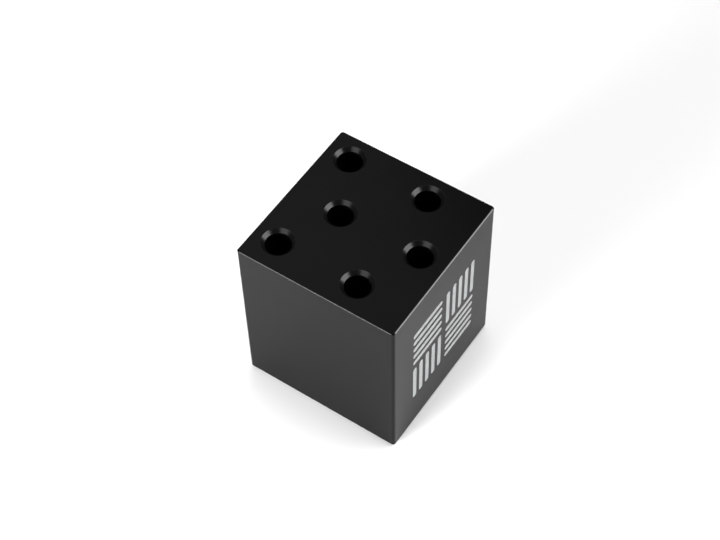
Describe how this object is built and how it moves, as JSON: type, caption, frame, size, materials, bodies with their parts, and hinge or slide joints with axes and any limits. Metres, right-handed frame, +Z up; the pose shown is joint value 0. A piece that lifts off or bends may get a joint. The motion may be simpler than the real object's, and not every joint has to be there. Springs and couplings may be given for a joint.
{
  "type": "desk tool holder block",
  "caption": "Square machined block with blind countersunk bores in its top face that stand pens or slim tools upright, and an inlaid parquet mark on its front.",
  "frame": {"origin": "centre of the footprint, at the level of the foot treads", "axes": "+Z up along the bores, -Y towards the front, which carries the mark, +X to the right of someone facing the front"},
  "size_m": [0.07, 0.07, 0.0792],
  "materials": {
    "anodised_black": "satin black anodised over fine bead blast",
    "inlay_enamel": "pale silver-grey enamel, slightly dished, soft gloss",
    "foot_rubber": "matt black rubber",
    "adhesive": "translucent acrylic adhesive film"
  },
  "bodies": {
    "root": {"block": "anodised_black", "mark_inlay_upper_left": "inlay_enamel", "mark_inlay_upper_right": "inlay_enamel", "mark_inlay_lower_left": "inlay_enamel", "mark_inlay_lower_right": "inlay_enamel", "foot_front_left": "foot_rubber", "foot_front_right": "foot_rubber", "foot_rear_left": "foot_rubber", "foot_rear_right": "foot_rubber", "foot_adhesive_discs": "adhesive"}
  },
  "joints": []
}
